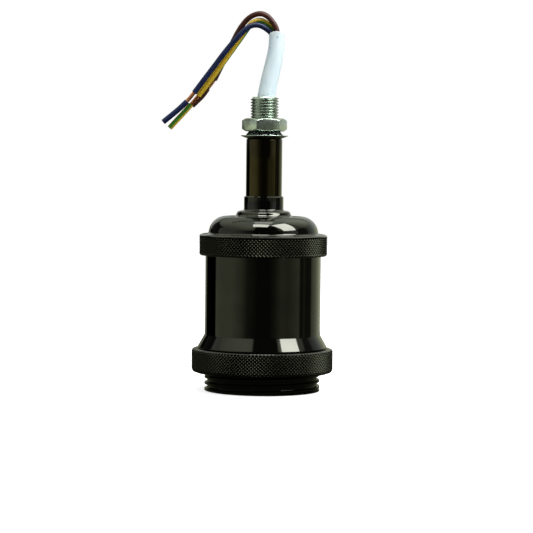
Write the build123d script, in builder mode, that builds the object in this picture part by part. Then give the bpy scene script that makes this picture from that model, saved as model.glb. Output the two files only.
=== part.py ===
from build123d import *
from math import cos, pi, radians, sin, sqrt, tan
import os

os.makedirs("parts", exist_ok=True)

# Lamp holder for a 27 mm screw base. It stands on the rim of its threaded skirt, with the mouth
# for the bulb underneath and the cable on top. Millimetres, +Z up, Z is the axis of the holder.

# Outer body: tube, shoulder flare and threaded skirt, turned in one piece
body_wall = 1.2
body_length = 53.0
body_rim_chamfer = 0.4
flare_overhang = 2.4
flare_bottom = 15.0
flare_height = 4.6
flare_edge = 0.3
skirt_core_clearance = 1.3
skirt_root_wall = 1.4
skirt_thread_depth = 1.0
skirt_thread_pitch = 2.1
skirt_crest_width = 0.6
skirt_root_width = 0.5
skirt_first_groove = 1.9
cap_thread_depth = 0.5
cap_thread_pitch = 1.5
cap_thread_start = 1.45
cap_thread_turns = 3

# Shade ring: knurled nut on the skirt thread, under the flare
ring_wall = 4.45
ring_height = 8.4
ring_flare_gap = 0.3
ring_thread_clearance = 0.2
ring_top_edge_share = 0.225
ring_bottom_edge_share = 0.45
ring_bore_chamfer = 0.6

# Top cap: knurled skirt, dome, bead and collar, one piece
cap_skirt_wall = 2.1
cap_skirt_height = 7.5
cap_engagement = 5.9
cap_thread_clearance = 0.15
cap_seat_gap = 0.2
cap_skirt_chamfer = 0.5
cap_wall = 1.4
dome_ledge = 3.25
dome_height = 6.1
dome_shoulder = 6.0
dome_foot_fillet = 0.7
edge_match = 0.01
bead_diameter = 19.6
bead_height = 2.1
bead_shoulder = 1.6
collar_diameter = 13.7
collar_height = 4.9
collar_edge = 0.3

# Threaded tube that carries the cap, the stem and the cable
nipple_diameter = 9.8
nipple_shank_diameter = 9.4
nipple_bore = 7.0
nipple_chamfer = 0.5
nipple_free_length = 7.4
nipple_tail = 0.8
nipple_clearance = 0.1

# Stem tube, washers and nuts on the threaded tube
stem_diameter = 12.5
stem_length = 20.0
stem_bore_clearance = 0.3
stem_edge = 0.5
washer_diameter = 16.5
washer_hub_diameter = 11.8
washer_thickness = 1.1
washer_rim_thickness = 0.2
washer_bore_clearance = 0.25
tooth_washer_foot_diameter = 13.2
tooth_washer_top_diameter = 10.9
tooth_washer_height = 1.4
tooth_count = 14
tooth_gap_width = 0.9
tooth_gap_depth = 1.0
nut_across_flats = 13.8
nut_height = 4.5
nut_bevel_angle = 30.0
nut_face_inset = 0.35
nut_thread_clearance = 0.1
nut_turn = 9.8
locknut_across_flats = 13.8
locknut_height = 3.0
grub_diameter = 3.0
grub_clearance = 0.05
grub_recess = 0.25
grub_slot_width = 0.6
grub_slot_depth = 0.7

# Porcelain core with the socket for the screw shell
core_seat = 29.6
core_body_clearance = 0.3
core_flange_height = 4.4
core_deck = 38.0
core_floor = 30.0
core_skirt_bottom = 7.2
core_skirt_wall = 2.2
core_shell_clearance = 0.55
core_lip_round = 0.6
core_step = 1.0
barrier_wall = 2.0
barrier_height = 6.5
barrier_notch_clearance = 0.6

# Rolled screw shell of the 27 mm thread
shell_sheet = 0.35
shell_crest_diameter = 24.5
shell_root_diameter = 26.6
shell_pitch = 3.629
shell_crest_count = 5
shell_first_crest = 11.6
shell_land = 0.8
shell_flank = 0.95
shell_thread_round = 0.55
shell_lip = 8.6
shell_window_margin = 2.2
shell_floor_bend = 0.8

# Rivets that hold the shell to the porcelain
rivet_diameter = 2.0
rivet_hole_clearance = 0.1
rivet_head_diameter = 3.4
rivet_head_height = 0.8
rivet_head_taper = 15.0
rivet_floor_margin = 3.1
rivet_angles = (180.0, 55.0, 305.0)

# Sprung tongue that meets the centre contact of the bulb
tongue_thickness = 0.4
tongue_width = 5.0
tongue_root_margin = 1.2
tongue_root_drop = 0.7
tongue_tip_x = 2.6
tongue_fall = 2.4
tongue_curl_length = 1.8
tongue_curl_rise = 1.0
tongue_bend = 0.8
tongue_tab_height = 3.0
tongue_slot_clearance = 0.6

# Terminals on the deck of the porcelain, and the earth terminal on the bridge
terminal_barrier_gap = 0.8
terminal_depth = 6.4
terminal_width = 6.4
terminal_height = 6.5
terminal_plate = 1.0
terminal_plate_lip = 0.7
terminal_hole = 2.5
terminal_hole_height = 4.5
terminal_edge = 0.4
terminal_tail_thickness = 0.8
terminal_tail_width = 4.0
terminal_tail_gap = 0.3
rivet_pocket_clearance = 0.4
screw_diameter = 3.0
screw_head_diameter = 4.8
screw_head_height = 1.8
screw_slot_width = 0.8
screw_slot_depth = 0.9
screw_edge = 0.3
screw_hole_clearance = 0.1
terminal_screw_reach = 1.6
earth_block_depth = 5.0
earth_block_width = 6.0
earth_block_lift = 3.0
earth_block_height = 6.0
earth_spigot_diameter = 3.0
earth_spigot_proud = 0.5

# Folded sheet bridge that ties the porcelain to the threaded tube
bridge_thickness = 1.0
bridge_width = 10.0
bridge_eye_diameter = 16.0
bridge_foot_margin = 0.4
bridge_foot_rest = 2.2
bridge_head_gap = 0.6
bridge_bend = 0.9
bridge_screw_length = 5.0

# Three-core flex
jacket_diameter = 5.8
core_diameter = 2.0
copper_diameter = 1.1
jacket_foot = 53.5
jacket_top = 123.4
jacket_top_x = 3.95
core_spacing = 0.05
slug_straight = 2.0
arc_share = 0.45

# Places worked out from the sizes above, outwards from the screw shell
shell_outer_radius = shell_root_diameter / 2 + shell_sheet
core_skirt_bore = shell_outer_radius + core_shell_clearance
core_skirt_radius = core_skirt_bore + core_skirt_wall
skirt_bore_radius = core_skirt_radius + skirt_core_clearance
skirt_root_radius = skirt_bore_radius + skirt_root_wall
body_radius = skirt_root_radius + skirt_thread_depth
tube_bore_radius = body_radius - body_wall
flare_radius = body_radius + flare_overhang
flare_top = flare_bottom + flare_height
ring_bore_radius = body_radius + ring_thread_clearance
ring_radius = ring_bore_radius + ring_wall
ring_top = flare_bottom - ring_flare_gap
ring_bottom = ring_top - ring_height
cap_bottom = body_length - cap_engagement
cap_skirt_top = cap_bottom + cap_skirt_height
cap_stop = body_length + cap_seat_gap
cap_skirt_bore = body_radius + cap_thread_clearance
cap_skirt_radius = cap_skirt_bore + cap_skirt_wall
dome_radius = cap_skirt_radius - dome_ledge
dome_flat_radius = dome_radius - dome_shoulder
dome_top = cap_skirt_top + dome_height
cap_ceiling = dome_top - cap_wall
bead_top = dome_top + bead_height
bead_flat_radius = bead_diameter / 2 - bead_shoulder
collar_radius = collar_diameter / 2
stem_foot = bead_top + collar_height
stem_top = stem_foot + stem_length
washer_top = stem_top + washer_thickness
nut_seat = washer_top + tooth_washer_height
nut_top = nut_seat + nut_height
nipple_radius = nipple_diameter / 2
nipple_shank_radius = nipple_shank_diameter / 2
nipple_top = nut_top + nipple_free_length
bridge_underside = cap_ceiling - bridge_thickness
locknut_foot = bridge_underside - locknut_height
nipple_foot = locknut_foot - nipple_tail
nut_bore_radius = nipple_radius + nut_thread_clearance
cap_bore_radius = nipple_radius + nipple_clearance
core_flange_radius = tube_bore_radius - core_body_clearance
core_upper_radius = core_flange_radius - core_step
core_barrier_bore = core_upper_radius - barrier_wall
core_barrier_top = core_deck + barrier_height
shell_underside = core_floor - shell_sheet
rivet_radius = rivet_diameter / 2
rivet_foot = shell_underside - rivet_head_height
rivet_circle_radius = shell_root_diameter / 2 - rivet_floor_margin
shell_window_radius = rivet_circle_radius - shell_window_margin
rivet_places = [
    (rivet_circle_radius * cos(radians(angle)), rivet_circle_radius * sin(radians(angle)))
    for angle in rivet_angles
]
tongue_root_x = shell_window_radius - tongue_root_margin
tongue_root_z = core_floor - tongue_root_drop
tongue_tip_z = tongue_root_z - tongue_fall
tongue_tab_top = tongue_root_z + tongue_tab_height
tongue_slot_length = tongue_thickness + 2 * tongue_slot_clearance
tongue_slot_width = tongue_width + 2 * tongue_slot_clearance
terminal_inner = core_barrier_bore - terminal_barrier_gap - terminal_depth
terminal_centre = terminal_inner + terminal_depth / 2
terminal_top = core_deck + terminal_plate + terminal_height
terminal_hole_z = core_deck + terminal_hole_height
terminal_plate_inner = tongue_root_x - terminal_plate_lip
terminal_plate_length = terminal_inner + terminal_depth - terminal_plate_inner
terminal_plate_centre = terminal_plate_inner + terminal_plate_length / 2
bridge_foot_end = core_upper_radius - bridge_foot_margin
bridge_screw_place = bridge_foot_end - bridge_foot_rest
bridge_leg_back = bridge_screw_place - screw_head_diameter / 2 - bridge_head_gap
bridge_leg_centre = bridge_leg_back - bridge_thickness / 2
bridge_leg_face = bridge_leg_centre - bridge_thickness / 2
bridge_foot_top = core_deck + bridge_thickness
earth_block_inner = bridge_leg_face - earth_block_depth
earth_block_bottom = core_deck + earth_block_lift
earth_block_top = earth_block_bottom + earth_block_height
earth_hole_z = earth_block_bottom + earth_block_height / 2


def corner_radii(points):
    """Largest tangent arc that the two runs at each corner of a cord leave room for."""
    corners = [Vector(*point) for point in points]
    radii = []
    for before, here, after in zip(corners, corners[1:], corners[2:]):
        first_run = here - before
        second_run = after - here
        half_turn = radians(first_run.get_angle(second_run)) / 2
        shorter = min(first_run.length, second_run.length)
        radii.append(arc_share * shorter / tan(half_turn))
    return radii


def cord_tube(name, points, diameter):
    """Round cord of one diameter along straight runs joined by tangent arcs."""
    radii = corner_radii(points)
    with BuildPart() as tube:
        with BuildLine() as path:
            if radii:
                FilletPolyline(*points, radius=radii)
            else:
                Line(*points)
        with BuildSketch(Plane(origin=path.line @ 0, z_dir=path.line % 0)):
            Circle(diameter / 2)
        sweep(path=path.line)
    length = path.wire().length
    share = tube.part.volume / (pi * diameter**2 / 4 * length)
    tightest = f"{min(radii):.2f}" if radii else "straight"
    print(f"{name}: length {length:.1f}, tightest radius {tightest}, volume share {share:.4f}")
    print("   radii", [round(radius, 1) for radius in radii])
    return tube


def hex_nut(seat, height, across_flats, turn):
    """Hexagon nut with its corners turned off at both ends, bored for the threaded tube."""
    corner_radius = across_flats / sqrt(3)
    face_radius = across_flats / 2 - nut_face_inset
    bevel = (corner_radius - face_radius) * tan(radians(nut_bevel_angle))
    with BuildPart() as nut:
        with BuildSketch(Plane.XY.offset(seat)):
            RegularPolygon(radius=across_flats / 2, side_count=6, major_radius=False, rotation=turn)
        extrude(amount=height)
        with BuildSketch(Plane.XZ):
            with BuildLine():
                Polyline(
                    (0, seat),
                    (face_radius, seat),
                    (corner_radius, seat + bevel),
                    (corner_radius, seat + height - bevel),
                    (face_radius, seat + height),
                    (0, seat + height),
                    close=True,
                )
            make_face()
        revolve(axis=Axis.Z, mode=Mode.INTERSECT)
        with BuildSketch(Plane.XY.offset(seat)):
            Circle(nut_bore_radius)
        extrude(amount=height, mode=Mode.SUBTRACT)
    return nut


def slotted_screw(seat_plane, shank_length):
    """Cheese-head screw whose head stands on the plane, with its shank behind it."""
    with BuildPart() as screw:
        with BuildSketch(seat_plane):
            Circle(screw_head_diameter / 2)
        extrude(amount=screw_head_height)
        chamfer(screw.faces().sort_by(Axis.Z)[-1].edges(), screw_edge)
        with BuildSketch(seat_plane.offset(screw_head_height)):
            Rectangle(screw_head_diameter, screw_slot_width)
        extrude(amount=-screw_slot_depth, mode=Mode.SUBTRACT)
        with BuildSketch(seat_plane):
            Circle(screw_diameter / 2)
        extrude(amount=-shank_length)
    return screw


# Outer body
with BuildPart() as outer_body:
    with BuildSketch(Plane.XZ):
        with BuildLine():
            Polyline(
                (skirt_bore_radius + body_rim_chamfer, 0),
                (body_radius, 0),
                (body_radius, flare_bottom - skirt_thread_depth),
                (skirt_root_radius, flare_bottom),
                (flare_radius - flare_edge, flare_bottom),
                (flare_radius, flare_bottom + flare_edge),
                (body_radius, flare_top),
                (body_radius, body_length - body_rim_chamfer),
                (body_radius - body_rim_chamfer, body_length),
                (tube_bore_radius, body_length),
                (tube_bore_radius, core_seat),
                (skirt_bore_radius, core_seat),
                (skirt_bore_radius, body_rim_chamfer),
                close=True,
            )
        make_face()
    revolve(axis=Axis.Z)
    skirt_groove_mouth = skirt_thread_pitch - skirt_crest_width
    skirt_groove_count = int((flare_bottom - skirt_first_groove) / skirt_thread_pitch)
    skirt_groove_places = [
        (body_radius, skirt_first_groove + turn * skirt_thread_pitch)
        for turn in range(skirt_groove_count)
    ]
    with BuildSketch(Plane.XZ):
        with Locations(*skirt_groove_places):
            Polygon(
                (skirt_thread_depth, -skirt_groove_mouth / 2),
                (0, -skirt_groove_mouth / 2),
                (-skirt_thread_depth, -skirt_root_width / 2),
                (-skirt_thread_depth, skirt_root_width / 2),
                (0, skirt_groove_mouth / 2),
                (skirt_thread_depth, skirt_groove_mouth / 2),
                align=None,
            )
    revolve(axis=Axis.Z, mode=Mode.SUBTRACT)
    cap_groove_places = [
        (body_radius, body_length - cap_thread_start - turn * cap_thread_pitch)
        for turn in range(cap_thread_turns)
    ]
    with BuildSketch(Plane.XZ):
        with Locations(*cap_groove_places):
            Polygon(
                (0, -cap_thread_depth),
                (-cap_thread_depth, 0),
                (0, cap_thread_depth),
                align=None,
            )
    revolve(axis=Axis.Z, mode=Mode.SUBTRACT)
outer_body.part.label = "outer_body"
export_step(outer_body.part, "parts/outer_body.step")

# Shade ring
with BuildPart() as shade_ring:
    with BuildSketch(Plane.XZ):
        with BuildLine():
            FilletPolyline(
                (ring_bore_radius + ring_bore_chamfer, ring_bottom),
                (ring_radius, ring_bottom),
                (ring_radius, ring_top),
                (ring_bore_radius + ring_bore_chamfer, ring_top),
                (ring_bore_radius, ring_top - ring_bore_chamfer),
                (ring_bore_radius, ring_bottom + ring_bore_chamfer),
                radius=[0, ring_bottom_edge_share * ring_wall, ring_top_edge_share * ring_wall, 0, 0, 0],
                close=True,
            )
        make_face()
    revolve(axis=Axis.Z)
shade_ring.part.label = "shade_ring"
export_step(shade_ring.part, "parts/shade_ring.step")

# Top cap
with BuildPart() as top_cap:
    dome_bore_radius = dome_radius - cap_wall
    with BuildSketch(Plane.XZ):
        with BuildLine():
            Polyline(
                (cap_skirt_bore, cap_stop),
                (cap_skirt_bore, cap_bottom),
                (cap_skirt_radius - cap_skirt_chamfer, cap_bottom),
                (cap_skirt_radius, cap_bottom + cap_skirt_chamfer),
                (cap_skirt_radius, cap_skirt_top - cap_skirt_chamfer),
                (cap_skirt_radius - cap_skirt_chamfer, cap_skirt_top),
                (dome_radius, cap_skirt_top),
            )
            EllipticalCenterArc(
                (dome_flat_radius, cap_skirt_top), dome_shoulder, dome_height, arc_size=90
            )
            Line((dome_flat_radius, dome_top), (bead_diameter / 2, dome_top))
            EllipticalCenterArc(
                (bead_flat_radius, dome_top), bead_shoulder, bead_height, arc_size=90
            )
            Polyline(
                (bead_flat_radius, bead_top),
                (collar_radius, bead_top),
                (collar_radius, stem_foot - collar_edge),
                (collar_radius - collar_edge, stem_foot),
                (cap_bore_radius, stem_foot),
                (cap_bore_radius, cap_ceiling),
                (dome_flat_radius, cap_ceiling),
            )
            EllipticalCenterArc(
                (dome_flat_radius, cap_skirt_top),
                dome_shoulder - cap_wall,
                dome_height - cap_wall,
                arc_size=90,
            )
            Polyline(
                (dome_bore_radius, cap_skirt_top),
                (dome_bore_radius, cap_stop),
                (cap_skirt_bore, cap_stop),
            )
        make_face()
    revolve(axis=Axis.Z)
    dome_foot = top_cap.edges().filter_by(GeomType.CIRCLE).filter_by(
        lambda edge: abs(edge.radius - dome_radius) < edge_match
        and abs(edge.arc_center.Z - cap_skirt_top) < edge_match
    )
    fillet(dome_foot, dome_foot_fillet)
    grub_plane = Plane(
        origin=(0, collar_radius, bead_top + collar_height / 2), x_dir=(1, 0, 0), z_dir=(0, 1, 0)
    )
    with BuildSketch(grub_plane):
        Circle(grub_diameter / 2 + grub_clearance)
    extrude(amount=-collar_radius, mode=Mode.SUBTRACT)
top_cap.part.label = "top_cap"
export_step(top_cap.part, "parts/top_cap.step")

# Grub screw in the back of the collar, its foot on the threaded tube
with BuildPart() as locking_screw:
    grub_length = collar_radius - grub_recess - nipple_shank_radius
    with BuildSketch(grub_plane.offset(-grub_recess)):
        Circle(grub_diameter / 2)
    extrude(amount=-grub_length)
    with BuildSketch(grub_plane.offset(-grub_recess)):
        Rectangle(grub_diameter, grub_slot_width)
    extrude(amount=-grub_slot_depth, mode=Mode.SUBTRACT)
locking_screw.part.label = "locking_screw"
export_step(locking_screw.part, "parts/locking_screw.step")

# Stem tube
with BuildPart() as stem_tube:
    with BuildSketch(Plane.XY.offset(stem_foot)):
        Circle(stem_diameter / 2)
        Circle(nipple_radius + stem_bore_clearance, mode=Mode.SUBTRACT)
    extrude(amount=stem_length)
    stem_rim = stem_tube.faces().sort_by(Axis.Z)[-1].outer_wire().edges()
    fillet(stem_rim, stem_edge)
stem_tube.part.label = "stem_tube"
export_step(stem_tube.part, "parts/stem_tube.step")

# Threaded tube: its free end has the thread's crest diameter, and the stretch that nuts, stem
# and cap enclose has the thread's mean diameter
with BuildPart() as nipple:
    with BuildSketch(Plane.XZ):
        with BuildLine():
            Polyline(
                (nipple_bore / 2, nipple_foot),
                (nipple_shank_radius - nipple_chamfer, nipple_foot),
                (nipple_shank_radius, nipple_foot + nipple_chamfer),
                (nipple_shank_radius, nut_top),
                (nipple_radius, nut_top),
                (nipple_radius, nipple_top - nipple_chamfer),
                (nipple_radius - nipple_chamfer, nipple_top),
                (nipple_bore / 2, nipple_top),
                close=True,
            )
        make_face()
    revolve(axis=Axis.Z)
nipple.part.label = "nipple"
export_step(nipple.part, "parts/nipple.step")

# Dished washer on the stem
with BuildPart() as flat_washer:
    washer_bore = nipple_radius + washer_bore_clearance
    washer_rim_middle = washer_top - washer_rim_thickness
    with BuildSketch(Plane.XZ):
        with BuildLine():
            Polyline(
                (washer_bore, stem_top),
                (washer_hub_diameter / 2, stem_top),
                (washer_diameter / 2, washer_rim_middle),
                (washer_diameter / 2, washer_top),
                (washer_bore, washer_top),
                close=True,
            )
        make_face()
    revolve(axis=Axis.Z)
flat_washer.part.label = "flat_washer"
export_step(flat_washer.part, "parts/flat_washer.step")

# Conical tooth washer under the nut
with BuildPart() as tooth_washer:
    with BuildSketch(Plane.XZ):
        with BuildLine():
            Polyline(
                (washer_bore, washer_top),
                (tooth_washer_foot_diameter / 2, washer_top),
                (tooth_washer_top_diameter / 2, nut_seat),
                (washer_bore, nut_seat),
                close=True,
            )
        make_face()
    revolve(axis=Axis.Z)
    with BuildSketch(Plane.XY.offset(washer_top)):
        with PolarLocations(tooth_washer_foot_diameter / 2, tooth_count):
            Rectangle(2 * tooth_gap_depth, tooth_gap_width)
    extrude(amount=tooth_washer_height, mode=Mode.SUBTRACT)
tooth_washer.part.label = "tooth_washer"
export_step(tooth_washer.part, "parts/tooth_washer.step")

# Mounting nut on top, and the locknut inside the cap
mounting_nut = hex_nut(nut_seat, nut_height, nut_across_flats, nut_turn)
mounting_nut.part.label = "mounting_nut"
export_step(mounting_nut.part, "parts/mounting_nut.step")

inner_locknut = hex_nut(locknut_foot, locknut_height, locknut_across_flats, 0)
inner_locknut.part.label = "inner_locknut"
export_step(inner_locknut.part, "parts/inner_locknut.step")

# Porcelain core
with BuildPart() as porcelain_core:
    with BuildSketch(Plane.XZ):
        with BuildLine():
            FilletPolyline(
                (0, core_floor),
                (core_skirt_bore, core_floor),
                (core_skirt_bore, core_skirt_bottom),
                (core_skirt_radius, core_skirt_bottom),
                (core_skirt_radius, core_seat),
                (core_flange_radius, core_seat),
                (core_flange_radius, core_seat + core_flange_height),
                (core_upper_radius, core_seat + core_flange_height),
                (core_upper_radius, core_barrier_top),
                (core_barrier_bore, core_barrier_top),
                (core_barrier_bore, core_deck),
                (0, core_deck),
                radius=[
                    0,
                    0,
                    core_lip_round,
                    core_lip_round,
                    0,
                    0,
                    core_lip_round,
                    0,
                    core_lip_round,
                    core_lip_round,
                    0,
                    0,
                ],
                close=True,
            )
        make_face()
    revolve(axis=Axis.Z)
    # Notches in the barrier for the feet of the bridge
    with BuildSketch(Plane.XY.offset(core_deck)):
        Rectangle(bridge_width + 2 * barrier_notch_clearance, 2 * core_flange_radius)
    extrude(amount=barrier_height, mode=Mode.SUBTRACT)
    # Slot for the tongue, holes for the rivets
    with BuildSketch(Plane.XY.offset(core_floor)):
        with Locations((tongue_root_x, 0)):
            Rectangle(tongue_slot_length, tongue_slot_width)
        with Locations(*rivet_places):
            Circle(rivet_radius + rivet_hole_clearance)
    extrude(amount=core_deck - core_floor, mode=Mode.SUBTRACT)
    # Blind holes for the bridge screws
    with BuildSketch(Plane.XY.offset(core_deck)):
        with Locations((0, bridge_screw_place), (0, -bridge_screw_place)):
            Circle(screw_diameter / 2 + screw_hole_clearance)
    extrude(amount=-bridge_screw_length, mode=Mode.SUBTRACT)
porcelain_core.part.label = "porcelain_core"
export_step(porcelain_core.part, "parts/porcelain_core.step")

# Screw shell: one sheet, its floor turned in and its wall rolled to the round thread
with BuildPart() as screw_shell:
    crest_line = (shell_crest_diameter + shell_sheet) / 2
    root_line = (shell_root_diameter + shell_sheet) / 2
    floor_line = core_floor - shell_sheet / 2
    shell_line = [(root_line, shell_lip)]
    for turn in range(shell_crest_count):
        crest_z = shell_first_crest + turn * shell_pitch
        shell_line += [
            (root_line, crest_z - shell_land / 2 - shell_flank),
            (crest_line, crest_z - shell_land / 2),
            (crest_line, crest_z + shell_land / 2),
            (root_line, crest_z + shell_land / 2 + shell_flank),
        ]
    shell_line += [(root_line, floor_line), (shell_window_radius, floor_line)]
    thread_rounds = [shell_thread_round] * (4 * shell_crest_count)
    with BuildSketch(Plane.XZ):
        with BuildLine():
            FilletPolyline(*shell_line, radius=thread_rounds + [shell_floor_bend])
        trace(line_width=shell_sheet)
    revolve(axis=Axis.Z)
    with BuildSketch(Plane.XY.offset(shell_underside)):
        with Locations(*rivet_places):
            Circle(rivet_radius + rivet_hole_clearance)
    extrude(amount=shell_sheet, mode=Mode.SUBTRACT)
screw_shell.part.label = "screw_shell"
export_step(screw_shell.part, "parts/screw_shell.step")

# Rivets through the floor of the shell and the porcelain, headed at both ends
with BuildPart() as shell_rivets:
    with BuildSketch(Plane.XY.offset(rivet_foot)):
        with Locations(*rivet_places):
            Circle(rivet_head_diameter / 2)
    extrude(amount=rivet_head_height, taper=rivet_head_taper)
    with BuildSketch(Plane.XY.offset(shell_underside)):
        with Locations(*rivet_places):
            Circle(rivet_radius)
    extrude(amount=core_deck - shell_underside)
    with BuildSketch(Plane.XY.offset(core_deck)):
        with Locations(*rivet_places):
            Circle(rivet_head_diameter / 2)
    extrude(amount=rivet_head_height, taper=rivet_head_taper)
shell_rivets.part.label = "shell_rivets"
export_step(shell_rivets.part, "parts/shell_rivets.step")

# Sprung tongue
with BuildPart() as centre_contact:
    with BuildSketch(Plane.XZ):
        with BuildLine():
            FilletPolyline(
                (tongue_root_x, tongue_tab_top),
                (tongue_root_x, tongue_root_z),
                (-tongue_tip_x, tongue_tip_z),
                (-tongue_tip_x - tongue_curl_length, tongue_tip_z + tongue_curl_rise),
                radius=tongue_bend,
            )
        trace(line_width=tongue_thickness)
    extrude(amount=tongue_width / 2, both=True)
centre_contact.part.label = "centre_contact"
export_step(centre_contact.part, "parts/centre_contact.step")

# Live terminal: block, base plate and a tail that reaches down to the tongue
with BuildPart() as live_terminal:
    with BuildSketch(Plane.XY.offset(core_deck)):
        with Locations((terminal_plate_centre, 0)):
            Rectangle(terminal_plate_length, terminal_width)
    extrude(amount=terminal_plate)
    with BuildSketch(Plane.XY.offset(core_deck + terminal_plate)):
        with Locations((terminal_centre, 0)):
            Rectangle(terminal_depth, terminal_width)
    extrude(amount=terminal_height)
    chamfer(live_terminal.faces().sort_by(Axis.Z)[-1].edges(), terminal_edge)
    tail_length = core_deck - tongue_tab_top - terminal_tail_gap
    with BuildSketch(Plane.XY.offset(core_deck)):
        with Locations((tongue_root_x, 0)):
            Rectangle(terminal_tail_thickness, terminal_tail_width)
    extrude(amount=-tail_length)
    with BuildSketch(Plane.YZ.offset(terminal_inner)):
        with Locations((0, terminal_hole_z)):
            Circle(terminal_hole / 2)
    extrude(amount=terminal_depth, mode=Mode.SUBTRACT)
    with BuildSketch(Plane.XY.offset(terminal_top)):
        with Locations((terminal_centre, 0)):
            Circle(screw_diameter / 2 + screw_hole_clearance)
    extrude(amount=terminal_hole_z - terminal_top, mode=Mode.SUBTRACT)
live_terminal.part.label = "live_terminal"
export_step(live_terminal.part, "parts/live_terminal.step")

live_terminal_screw = slotted_screw(
    Plane.XY.offset(terminal_top).move(Location((terminal_centre, 0, 0))), terminal_screw_reach
)
live_terminal_screw.part.label = "live_terminal_screw"
export_step(live_terminal_screw.part, "parts/live_terminal_screw.step")

# Neutral terminal: its base has a pocket over the head of the rivet that feeds the shell
with BuildPart() as neutral_terminal:
    with BuildSketch(Plane.XY.offset(core_deck)):
        with Locations((-terminal_centre, 0)):
            Rectangle(terminal_depth, terminal_width)
    extrude(amount=terminal_plate + terminal_height)
    chamfer(neutral_terminal.faces().sort_by(Axis.Z)[-1].edges(), terminal_edge)
    with BuildSketch(Plane.XY.offset(core_deck)):
        with Locations(rivet_places[0]):
            Circle((rivet_head_diameter + rivet_pocket_clearance) / 2)
    extrude(amount=rivet_head_height + rivet_pocket_clearance, mode=Mode.SUBTRACT)
    with BuildSketch(Plane.YZ.offset(-terminal_inner)):
        with Locations((0, terminal_hole_z)):
            Circle(terminal_hole / 2)
    extrude(amount=-terminal_depth, mode=Mode.SUBTRACT)
    with BuildSketch(Plane.XY.offset(terminal_top)):
        with Locations((-terminal_centre, 0)):
            Circle(screw_diameter / 2 + screw_hole_clearance)
    extrude(amount=terminal_hole_z - terminal_top, mode=Mode.SUBTRACT)
neutral_terminal.part.label = "neutral_terminal"
export_step(neutral_terminal.part, "parts/neutral_terminal.step")

neutral_terminal_screw = slotted_screw(
    Plane.XY.offset(terminal_top).move(Location((-terminal_centre, 0, 0))), terminal_screw_reach
)
neutral_terminal_screw.part.label = "neutral_terminal_screw"
export_step(neutral_terminal_screw.part, "parts/neutral_terminal_screw.step")

# Bridge: a strap folded over the porcelain, clamped under the dome by the locknut
with BuildPart() as bridge:
    foot_line = core_deck + bridge_thickness / 2
    top_line = cap_ceiling - bridge_thickness / 2
    with BuildSketch(Plane.YZ):
        with BuildLine():
            FilletPolyline(
                (bridge_foot_end, foot_line),
                (bridge_leg_centre, foot_line),
                (bridge_leg_centre, top_line),
                (-bridge_leg_centre, top_line),
                (-bridge_leg_centre, foot_line),
                (-bridge_foot_end, foot_line),
                radius=bridge_bend,
            )
        trace(line_width=bridge_thickness)
    extrude(amount=bridge_width / 2, both=True)
    with BuildSketch(Plane.XY.offset(bridge_underside)):
        Circle(bridge_eye_diameter / 2)
    extrude(amount=bridge_thickness)
    with BuildSketch(Plane.XY.offset(bridge_underside)):
        Circle(cap_bore_radius)
    extrude(amount=bridge_thickness, mode=Mode.SUBTRACT)
    with BuildSketch(Plane.XY.offset(core_deck)):
        with Locations((0, bridge_screw_place), (0, -bridge_screw_place)):
            Circle(screw_diameter / 2 + screw_hole_clearance)
    extrude(amount=bridge_thickness, mode=Mode.SUBTRACT)
    with BuildSketch(Plane.XZ.offset(-bridge_leg_face)):
        with Locations((0, earth_hole_z)):
            Circle(earth_spigot_diameter / 2 + screw_hole_clearance)
    extrude(amount=-bridge_thickness, mode=Mode.SUBTRACT)
bridge.part.label = "bridge"
export_step(bridge.part, "parts/bridge.step")

bridge_screw_pair = [
    slotted_screw(Plane.XY.offset(bridge_foot_top).move(Location((0, place, 0))), bridge_screw_length)
    for place in (bridge_screw_place, -bridge_screw_place)
]
with BuildPart() as bridge_screws:
    for screw in bridge_screw_pair:
        add(screw.part)
bridge_screws.part.label = "bridge_screws"
export_step(bridge_screws.part, "parts/bridge_screws.step")

# Earth terminal, riveted to the back leg of the bridge by its spigot
with BuildPart() as earth_terminal:
    earth_centre = earth_block_inner + earth_block_depth / 2
    with BuildSketch(Plane.XY.offset(earth_block_bottom)):
        with Locations((0, earth_centre)):
            Rectangle(earth_block_width, earth_block_depth)
    extrude(amount=earth_block_height)
    chamfer(earth_terminal.faces().sort_by(Axis.Z)[-1].edges(), terminal_edge)
    with BuildSketch(Plane.XZ.offset(-bridge_leg_face)):
        with Locations((0, earth_hole_z)):
            Circle(earth_spigot_diameter / 2)
    extrude(amount=-(bridge_thickness + earth_spigot_proud))
    with BuildSketch(Plane.XZ.offset(-earth_block_inner)):
        with Locations((0, earth_hole_z)):
            Circle(terminal_hole / 2)
    extrude(amount=-earth_centre + earth_block_inner - screw_diameter / 2, mode=Mode.SUBTRACT)
    with BuildSketch(Plane.XY.offset(earth_block_top)):
        with Locations((0, earth_centre)):
            Circle(screw_diameter / 2 + screw_hole_clearance)
    extrude(amount=earth_hole_z - earth_block_top, mode=Mode.SUBTRACT)
earth_terminal.part.label = "earth_terminal"
export_step(earth_terminal.part, "parts/earth_terminal.step")

earth_screw = slotted_screw(
    Plane.XY.offset(earth_block_top).move(Location((0, earth_centre, 0))), terminal_screw_reach
)
earth_screw.part.label = "earth_screw"
export_step(earth_screw.part, "parts/earth_screw.step")

# Jacket of the flex, up through the threaded tube and leaning to the right above it
jacket_route = [
    (0.0, 0.0, jacket_foot),
    (0.0, 0.0, 62.5),
    (-0.25, -0.1, 75.5),
    (-0.3, 0.1, 88.5),
    (-0.1, 0.0, 99.2),
    (1.6, 0.0, 108.2),
    (2.9, 0.0, 113.6),
    (3.7, 0.0, 118.0),
    (jacket_top_x, 0.0, 121.0),
    (jacket_top_x, 0.0, jacket_top),
]
cable_jacket = cord_tube("cable_jacket", jacket_route, jacket_diameter)
cable_jacket.part.label = "cable_jacket"
export_step(cable_jacket.part, "parts/cable_jacket.step")

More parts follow.
